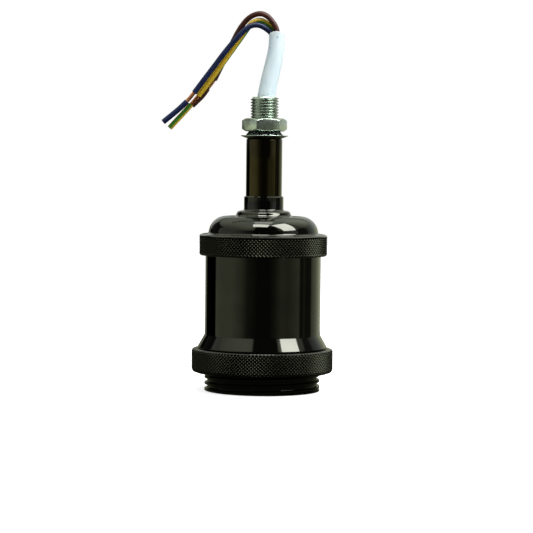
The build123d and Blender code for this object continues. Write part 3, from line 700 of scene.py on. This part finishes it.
def finish(name, tones, patch, metallic, roughness, grain, relief):
    """A surface with two close tones in patches, a roughness that varies between two values over
    a grain, and a relief of the same grain; sizes in millimetres."""
    material, tree, shader = new_material(name)
    place = add_node(tree, "ShaderNodeTexCoord", {})
    colour = mottled(tree, place.outputs["Object"], patch, *tones)
    smoothest, roughest = roughness
    grains = add_node(
        tree,
        "ShaderNodeTexNoise",
        {"Vector": place.outputs["Object"], "Scale": 1 / (grain * MM), "Detail": 2.0},
    )
    grain_height = grains.outputs["Fac"]
    spread = add_node(
        tree,
        "ShaderNodeMapRange",
        {"Value": grain_height, "From Min": 0.3, "From Max": 0.7, "To Min": smoothest, "To Max": roughest},
    )
    bumps = add_node(
        tree, "ShaderNodeBump", {"Height": grain_height, "Distance": relief * MM, "Strength": 1.0}
    )
    tree.links.new(colour.outputs[2], shader.inputs["Base Color"])
    tree.links.new(spread.outputs["Result"], shader.inputs["Roughness"])
    tree.links.new(bumps.outputs["Normal"], shader.inputs["Normal"])
    shader.inputs["Metallic"].default_value = metallic
    return material


def painted_knurl_shading(name, root, crest):
    """Black nickel on cut knurling, duller than the polished metal, with painted shade that darkens it in the
    grooves and a painted highlight that lightens it on the points; root and crest are the radii of the two."""
    material, tree, shader = new_material(name)
    place = add_node(tree, "ShaderNodeTexCoord", {})
    flat = add_node(
        tree, "ShaderNodeVectorMath", {0: place.outputs["Object"], 1: (1, 1, 0)}, operation="MULTIPLY"
    )
    out = add_node(tree, "ShaderNodeVectorMath", {0: flat.outputs["Vector"]}, operation="LENGTH")
    height = add_node(
        tree,
        "ShaderNodeMapRange",
        {"Value": out.outputs["Value"], "From Min": root * MM, "From Max": crest * MM},
    )
    # Painted shade in the grooves and painted highlight on the points, graded by the distance from the axis
    colour = add_node(
        tree,
        "ShaderNodeMix",
        {0: height.outputs["Result"], 6: linear("0c0d0a"), 7: linear("20211a")},
        data_type="RGBA",
    )
    tree.links.new(colour.outputs[2], shader.inputs["Base Color"])
    shader.inputs["Metallic"].default_value = 1.0
    shader.inputs["Roughness"].default_value = 0.38
    return material


def jacket_finish():
    """Soft white PVC of a flex jacket: milky, a little blue, with a few small specks of dirt."""
    speck_spacing = 3.4
    material = finish("white_flex_pvc", ("d0e3eb", "dcebee"), 7.0, 0.0, (0.38, 0.5), 2.0, 0.0)
    tree = material.node_tree
    shader = tree.nodes["Principled BSDF"]
    place = add_node(tree, "ShaderNodeTexCoord", {})
    specks = add_node(
        tree,
        "ShaderNodeTexVoronoi",
        {"Vector": place.outputs["Object"], "Scale": 1 / (speck_spacing * MM), "Randomness": 1.0},
    )
    dots = add_node(
        tree,
        "ShaderNodeMapRange",
        {
            "Value": specks.outputs["Distance"],
            "From Min": 0.07,
            "From Max": 0.13,
            "To Min": 0.6,
            "To Max": 0.0,
        },
    )
    base = shader.inputs["Base Color"].links[0].from_socket
    marked = add_node(
        tree, "ShaderNodeMix", {0: dots.outputs["Result"], 6: base, 7: linear("6f87a3")}, data_type="RGBA"
    )
    tree.links.new(marked.outputs[2], shader.inputs["Base Color"])
    shader.inputs["Subsurface Weight"].default_value = 0.5
    shader.inputs["Subsurface Radius"].default_value = (1.0, 1.1, 1.2)
    shader.inputs["Subsurface Scale"].default_value = 1.5 * MM
    return material


def earth_finish(name, start, lean_share, green_share):
    """PVC of the earth core: yellow with a green stripe that runs along it, by the cord's own UV.
    The three numbers are shares of the way round: where the stripe starts, how far it leans over
    the whole length, and how wide it is before its far edge fades out."""
    fade = 0.05
    green, yellow = linear("2c6a0c"), linear("b3940c")
    material, tree, shader = new_material(name)
    place = add_node(tree, "ShaderNodeTexCoord", {})
    along = add_node(tree, "ShaderNodeSeparateXYZ", {"Vector": place.outputs["UV"]})
    lean = add_node(
        tree,
        "ShaderNodeMath",
        {0: along.outputs["X"], 1: lean_share, 2: 1.0 - start},
        operation="MULTIPLY_ADD",
    )
    turn = add_node(
        tree, "ShaderNodeMath", {0: along.outputs["Y"], 1: lean.outputs["Value"]}, operation="ADD"
    )
    cycle = add_node(tree, "ShaderNodeMath", {0: turn.outputs["Value"]}, operation="FRACT")
    stripe = add_node(tree, "ShaderNodeValToRGB", {"Fac": cycle.outputs["Value"]})
    stops = stripe.color_ramp.elements
    stops[0].position, stops[0].color = 0.0, green
    stops[1].position, stops[1].color = green_share + fade, yellow
    stops.new(green_share).color = green
    tree.links.new(stripe.outputs["Color"], shader.inputs["Base Color"])
    shader.inputs["Roughness"].default_value = 0.45
    shader.inputs["Specular IOR Level"].default_value = 0.3
    return material


def core_finish(name, tones):
    """Soft coloured PVC of a core, with a low sheen and a slight drift in its tone."""
    material = finish(name, tones, 3.0, 0.0, (0.42, 0.5), 1.5, 0.0)
    material.node_tree.nodes["Principled BSDF"].inputs["Specular IOR Level"].default_value = 0.18
    return material


# A plain finish has its name, two tones, patch, metallic, roughness from and to, grain and relief
finishes = {
    # Bright black nickel over polished brass: a dark mirror, faintly uneven
    "black_nickel": finish("polished_black_nickel", ("2b2b29", "30302d"), 9.0, 1.0, (0.045, 0.075), 2.5, 0.0),
    # Zinc plate with a blue-green passivation: satin, faintly cloudy
    "zinc_plate": finish("zinc_plated_steel", ("98a49a", "aab5ab"), 2.6, 1.0, (0.24, 0.31), 1.6, 0.0),
    # Blackened spring steel of the tooth washer: dull, oily
    "dark_steel": finish("blackened_spring_steel", ("33383a", "4a504e"), 1.2, 1.0, (0.32, 0.45), 0.2, 0.004),
    # Glazed porcelain: warm white, glossy, the glaze slightly wavy
    "porcelain": finish("glazed_porcelain", ("e6e1d5", "eeeae1"), 6.0, 0.0, (0.08, 0.14), 1.8, 0.02),
    # Nickel plate on rolled brass sheet
    "nickelled_brass": finish(
        "nickel_plated_brass", ("bfb8a6", "d2ccbd"), 4.0, 1.0, (0.16, 0.24), 0.5, 0.003
    ),
    # Turned brass, left bright and a little tarnished
    "brass": finish("turned_brass", ("b98f3c", "cfa957"), 1.5, 1.0, (0.2, 0.3), 0.3, 0.003),
    # Phosphor bronze strip, rolled
    "spring_bronze": finish("phosphor_bronze", ("a8733f", "c08a55"), 2.0, 1.0, (0.2, 0.3), 0.3, 0.003),
    "white_pvc": jacket_finish(),
    # Core insulation: soft coloured PVC with a low sheen
    "blue_pvc": core_finish("blue_core_pvc", ("020f33", "061743")),
    "brown_pvc": core_finish("brown_core_pvc", ("33120a", "431b10")),
    "green_yellow_pvc": earth_finish("green_yellow_core_pvc", 0.62, 0.25, 0.35),
    # Fresh bare copper strands
    "copper": finish("bare_copper", ("c07f57", "d99a74"), 0.8, 1.0, (0.2, 0.3), 0.2, 0.002),
}
# The stem's black nickel is thinner, so that a little of the brass warms it
warm_nickel = finish("thin_black_nickel", ("2e291b", "342f1f"), 9.0, 1.0, (0.045, 0.075), 2.5, 0.0)
# The earth core's slug lies with its green stripe towards the front
slug_earth = earth_finish("green_yellow_slug_pvc", 0.86, 0.0, 0.2)
# The knurls' materials paint shade into the grooves and a highlight onto the points
ring_painted_shading = painted_knurl_shading("knurled_ring_shade_and_highlight", ring_root, ring_crest)
cap_painted_shading = painted_knurl_shading("knurled_cap_shade_and_highlight", cap_root, cap_crest)

slot_nodes = {
    "black_nickel": ["outer_body", "shade_ring", "top_cap", "stem_tube"],
    "zinc_plate": [
        "nipple", "mounting_nut", "flat_washer", "inner_locknut", "bridge", "bridge_screws", "locking_screw",
    ],
    "dark_steel": ["tooth_washer"],
    "porcelain": ["porcelain_core"],
    "nickelled_brass": ["screw_shell", "shell_rivets"],
    "brass": [
        "live_terminal", "live_terminal_screw", "neutral_terminal", "neutral_terminal_screw",
        "earth_terminal", "earth_screw",
    ],
    "spring_bronze": ["centre_contact"],
    "white_pvc": ["cable_jacket"],
    "blue_pvc": ["blue_core", "blue_slug", "blue_lead"],
    "brown_pvc": ["brown_core", "brown_slug", "brown_lead"],
    "green_yellow_pvc": ["earth_core", "earth_slug", "earth_lead"],
    "copper": ["blue_copper", "earth_copper", "brown_copper"],
}


def dressed(piece, slot, body, material=None):
    """Gives a new piece its finish and the CAD body that it moves with."""
    piece.data.materials.clear()
    piece.data.materials.append(material or finishes[slot])
    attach(piece, body)


def coat_knurl(piece, rows, up_to, material):
    """Puts the material of cut knurling, with its painted shade and painted highlight, on the faces round the
    rows, up to a height.
    """

    def is_cut(face):
        return in_rows(rows, face.center, IN_COAT) is not None and face.center.z < up_to * MM

    piece.data.materials.append(material)
    work_on(piece)
    pick(piece, is_cut, "FACE")
    piece.active_material_index = 1
    bpy.ops.object.material_slot_assign()
    bpy.ops.object.mode_set(mode="OBJECT")


own_bodies = {"mounting_nut": "nut", "centre_contact": "tongue"}
for slot, names in slot_nodes.items():
    for name in names:
        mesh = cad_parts[name].data
        mesh.materials.clear()
        mesh.materials.append(finishes[slot])
        if name in rounded:
            dressed(rounded[name], slot, own_bodies.get(name, "head"))

for piece in (outer_body, skirt_thread, cap_thread):
    dressed(piece, "black_nickel", "shell")
dressed(shade_ring, "black_nickel", "ring")
coat_knurl(shade_ring, ring_rows, up_to=14.27, material=ring_painted_shading)
dressed(top_cap, "black_nickel", "head")
coat_knurl(top_cap, cap_rows, up_to=53.8, material=cap_painted_shading)
dressed(stem_tube, "black_nickel", "head", warm_nickel)
dressed(nipple, "zinc_plate", "head")
dressed(nipple_thread, "zinc_plate", "head")
dressed(jacket, "white_pvc", "head")
core_slots = {"blue": "blue_pvc", "earth": "green_yellow_pvc", "brown": "brown_pvc"}
for colour, slot in core_slots.items():
    dressed(cores[colour], slot, "head")
    dressed(slugs[colour], slot, "head", slug_earth if colour == "earth" else None)
    dressed(coppers[colour], "copper", "head")


# Studio
def emitting(name, colour, strength):
    """A material that only glows; colour is a value, or a function that makes it in the material."""
    material = bpy.data.materials.new(name)
    material.use_nodes = True
    tree = material.node_tree
    tree.nodes.clear()
    source = colour(tree) if callable(colour) else colour
    glow = add_node(tree, "ShaderNodeEmission", {"Color": source, "Strength": strength})
    add_node(tree, "ShaderNodeOutputMaterial", {"Surface": glow.outputs["Emission"]})
    return material


def seen_rays(tree):
    """The light path, and 1 for the rays that see the white background: from the camera, off metal
    and through glass."""
    rays = add_node(tree, "ShaderNodeLightPath", {})
    either = add_node(
        tree,
        "ShaderNodeMath",
        {0: rays.outputs["Is Camera Ray"], 1: rays.outputs["Is Glossy Ray"]},
        operation="MAXIMUM",
    )
    seen = add_node(
        tree,
        "ShaderNodeMath",
        {0: either.outputs["Value"], 1: rays.outputs["Is Transmission Ray"]},
        operation="MAXIMUM",
    )
    return rays, seen


def pale_paint(name, glow_strength, in_metal):
    """Matt white paint that glows a little where it is seen, and keeps the shadow of the holder.
    Polished metal shows it as the dim table top of a photographer's studio. Seen from below it is
    clear, so that the underside of the holder shows."""
    material = bpy.data.materials.new(name)
    material.use_nodes = True
    tree = material.node_tree
    tree.nodes.clear()
    rays, seen = seen_rays(tree)
    paint = add_node(tree, "ShaderNodeBsdfDiffuse", {"Color": (0.8, 0.8, 0.8, 1.0)})
    glow = add_node(tree, "ShaderNodeEmission", {"Color": (1.0, 1.0, 1.0, 1.0), "Strength": glow_strength})
    both = add_node(tree, "ShaderNodeAddShader", {0: paint.outputs["BSDF"], 1: glow.outputs["Emission"]})
    mix = add_node(
        tree,
        "ShaderNodeMixShader",
        {0: seen.outputs["Value"], 1: paint.outputs["BSDF"], 2: both.outputs["Shader"]},
    )
    table = add_node(tree, "ShaderNodeEmission", {"Color": in_metal, "Strength": 1.0})
    by_ray = add_node(
        tree,
        "ShaderNodeMixShader",
        {0: rays.outputs["Is Glossy Ray"], 1: mix.outputs["Shader"], 2: table.outputs["Emission"]},
    )
    clear = add_node(tree, "ShaderNodeBsdfTransparent", {})
    side = add_node(tree, "ShaderNodeNewGeometry", {})
    by_side = add_node(
        tree,
        "ShaderNodeMixShader",
        {0: side.outputs["Backfacing"], 1: by_ray.outputs["Shader"], 2: clear.outputs["BSDF"]},
    )
    add_node(tree, "ShaderNodeOutputMaterial", {"Surface": by_side.outputs["Shader"]})
    return material


# The floor lies a hair under the rim, so that the two faces don't coincide
floor_radius = 1.2
floor_drop = 0.0002
work_on(None)
bpy.ops.mesh.primitive_circle_add(
    vertices=96, radius=floor_radius, fill_type="NGON", location=(0, 0, -floor_drop)
)
floor = bpy.context.object
floor.name = "floor"
floor.data.materials.append(pale_paint("pale_floor", glow_strength=0.78, in_metal=(0.09, 0.095, 0.06, 1.0)))

# The studio as the metal shows it, by the bearing from the camera's side in degrees and how light
# it is there: dim room behind, black flags at both sides of it, pale walls, dark front
wall_round = [
    (-180, 0.15),
    (-150, 0.3),
    (-145, 0.0),
    (-106, 0.0),
    (-103, 0.95),
    (-62, 1.0),
    (-42, 0.62),
    (-30, 0.2),
    (-10, 0.07),
    (12, 0.07),
    (22, 0.16),
    (36, 0.5),
    (50, 0.42),
    (64, 0.62),
    (74, 0.75),
    (78, 0.1),
    (85, 0.14),
    (88, 0.34),
    (91, 0.12),
    (107, 0.1),
    (112, 0.7),
    (150, 0.8),
    (180, 0.15),
]
# Higher up, above the flags
high_round = [
    (-180, 0.4),
    (-120, 1.05),
    (-40, 1.1),
    (-24, 0.95),
    (-20, 0.04),
    (34, 0.04),
    (38, 0.9),
    (90, 0.9),
    (98, 0.4),
    (104, 1.1),
    (140, 1.5),
    (180, 0.4),
]
# The walls level with the nut
upper_round = [
    (-180, 0.6),
    (-148, 0.6),
    (-144, 0.05),
    (-110, 0.05),
    (-107, 0.75),
    (-70, 0.9),
    (-52, 0.6),
    (-36, 0.2),
    (-16, 0.05),
    (34, 0.05),
    (48, 0.5),
    (64, 0.95),
    (76, 0.9),
    (79, 0.15),
    (106, 0.15),
    (110, 0.5),
    (140, 0.8),
    (180, 0.6),
]
wall_tint = Vector((0.96, 1.0, 0.7))
high_tint = Vector((0.95, 1.0, 0.82))
upper_tint = Vector((0.94, 1.0, 0.92))
# Where the near wall changes over, in metres up, and the far walls, by the rise of the direction
nut_level = (0.0905, 0.0925)
flags_top = (0.46, 0.54)


def round_light(tree, direction, stops_round, tint):
    """How light the studio is by bearing: the parts of a direction, and a ramp on its bearing."""
    heading = add_node(tree, "ShaderNodeSeparateXYZ", {"Vector": direction})
    towards = add_node(tree, "ShaderNodeMath", {0: heading.outputs["Y"], 1: -1.0}, operation="MULTIPLY")
    bearing = add_node(
        tree, "ShaderNodeMath", {0: heading.outputs["X"], 1: towards.outputs["Value"]}, operation="ARCTAN2"
    )
    share = add_node(
        tree,
        "ShaderNodeMapRange",
        {"Value": bearing.outputs["Value"], "From Min": -math.pi, "From Max": math.pi},
    )
    ramp = add_node(tree, "ShaderNodeValToRGB", {"Fac": share.outputs["Result"]})
    stops = ramp.color_ramp.elements
    for angle, _ in stops_round[1:-1]:
        stops.new((angle + 180) / 360)
    for stop, (angle, light) in zip(stops, stops_round):
        stop.color = (*(tint * light), 1.0)
    return heading, ramp


def two_rounds(tree, direction, upper_stops, tint, change):
    """The parts of a direction, and the walls' light by its bearing: one round of light below a
    change that runs from one height to another, and another round above."""
    heading, lower = round_light(tree, direction, wall_round, wall_tint)
    upper = round_light(tree, direction, upper_stops, tint)[1]
    rise = add_node(
        tree,
        "ShaderNodeMapRange",
        {"Value": heading.outputs["Z"], "From Min": change[0], "From Max": change[1]},
    )
    both = add_node(
        tree,
        "ShaderNodeMix",
        {0: rise.outputs["Result"], 6: lower.outputs["Color"], 7: upper.outputs["Color"]},
        data_type="RGBA",
    )
    return heading, both.outputs[2]


def wall_colour(tree):
    """Light of the near wall, whose upper round starts just below the nut."""
    place = add_node(tree, "ShaderNodeNewGeometry", {})
    return two_rounds(tree, place.outputs["Position"], upper_round, upper_tint, nut_level)[1]


world = bpy.data.worlds.new("studio")
world.use_nodes = True
scene.world = world
sky = world.node_tree
sky.nodes.clear()
sky_rays, sky_seen = seen_rays(sky)
direction = add_node(sky, "ShaderNodeTexCoord", {})
heading, far_walls = two_rounds(sky, direction.outputs["Generated"], high_round, high_tint, flags_top)
# Lighter towards the ceiling, with a bright ceiling straight above
upwards = add_node(
    sky,
    "ShaderNodeMapRange",
    {"Value": heading.outputs["Z"], "From Min": 0.55, "From Max": 0.85, "To Min": 1.0, "To Max": 2.2},
)
lifted = add_node(
    sky, "ShaderNodeVectorMath", {0: far_walls, "Scale": upwards.outputs["Result"]}, operation="SCALE"
)
overhead = add_node(
    sky, "ShaderNodeMapRange", {"Value": heading.outputs["Z"], "From Min": 0.84, "From Max": 0.93}
)
in_metal = add_node(
    sky,
    "ShaderNodeMix",
    {0: overhead.outputs["Result"], 6: lifted.outputs["Vector"], 7: (2.3, 2.5, 2.2, 1.0)},
    data_type="RGBA",
)
as_seen = add_node(
    sky,
    "ShaderNodeMix",
    {0: sky_rays.outputs["Is Glossy Ray"], 6: (1.0, 1.0, 1.0, 1.0), 7: in_metal.outputs[2]},
    data_type="RGBA",
)
# White where it is seen and dimmer as a light, so that it doesn't drown the lamps
white = add_node(sky, "ShaderNodeBackground", {"Color": as_seen.outputs[2], "Strength": 1.0})
dim = add_node(sky, "ShaderNodeBackground", {"Color": (1.0, 1.0, 1.0, 1.0), "Strength": 0.4})
sky_mix = add_node(
    sky,
    "ShaderNodeMixShader",
    {0: sky_seen.outputs["Value"], 1: dim.outputs["Background"], 2: white.outputs["Background"]},
)
add_node(sky, "ShaderNodeOutputWorld", {"Surface": sky_mix.outputs["Shader"]})


def only_in_metal(piece):
    """A wall or lamp face that polished metal reflects, and that nothing else sees or is lit by."""
    piece.visible_camera = False
    piece.visible_diffuse = False
    piece.visible_transmission = False
    piece.visible_volume_scatter = False
    piece.visible_shadow = False


# Point on the holder's axis that the lamps face
lamp_target = Vector((0, 0, 0.04))


def softbox(name, bearing, height_angle, width, height, power, brightness, distance=0.8):
    """A soft rectangular lamp, placed by its bearing from the camera's side and its height angle,
    and its bright face as the metal shows it."""
    across, up = math.radians(bearing), math.radians(height_angle)
    outwards = Vector((math.cos(up) * math.sin(across), -math.cos(up) * math.cos(across), math.sin(up)))
    turn = (-outwards).to_track_quat("-Z", "Y").to_matrix().to_4x4()
    place = Matrix.Translation(lamp_target + outwards * distance) @ turn
    lamp = bpy.data.lights.new(name, "AREA")
    lamp.shape = "RECTANGLE"
    lamp.size = width
    lamp.size_y = height
    lamp.energy = power
    fitting = bpy.data.objects.new(name, lamp)
    scene.collection.objects.link(fitting)
    fitting.matrix_world = place
    fitting.visible_glossy = False
    work_on(None)
    bpy.ops.mesh.primitive_plane_add(size=1.0)
    face = bpy.context.object
    face.name = name + "_face"
    face.scale = (width, height, 1.0)
    bpy.ops.object.transform_apply(location=False, rotation=False, scale=True)
    face.matrix_world = place
    face.data.materials.append(emitting(name + "_glow", (0.98, 1.0, 0.97, 1.0), brightness))
    only_in_metal(face)


# Near wall round the holder, which the upright metal shows as its long reflections
wall_radius = 0.3
wall_height = 0.2
work_on(None)
bpy.ops.mesh.primitive_cylinder_add(
    vertices=128,
    radius=wall_radius,
    depth=wall_height,
    end_fill_type="NOTHING",
    location=(0, 0, wall_height / 2),
)
studio_wall = bpy.context.object
studio_wall.name = "studio_wall"
wall_paint = emitting("studio_wall_paint", wall_colour, 1.0)
wall_paint.cycles.emission_sampling = "NONE"
studio_wall.data.materials.append(wall_paint)
only_in_metal(studio_wall)

softbox("key_softbox", 62, 48, width=0.41, height=0.6, power=5.0, brightness=24.0)
softbox("left_softbox", -9, 65, width=0.34, height=0.26, power=1.0, brightness=24.0)
softbox("top_softbox", 0, 88, width=0.3, height=0.22, power=1.5, brightness=8.0)
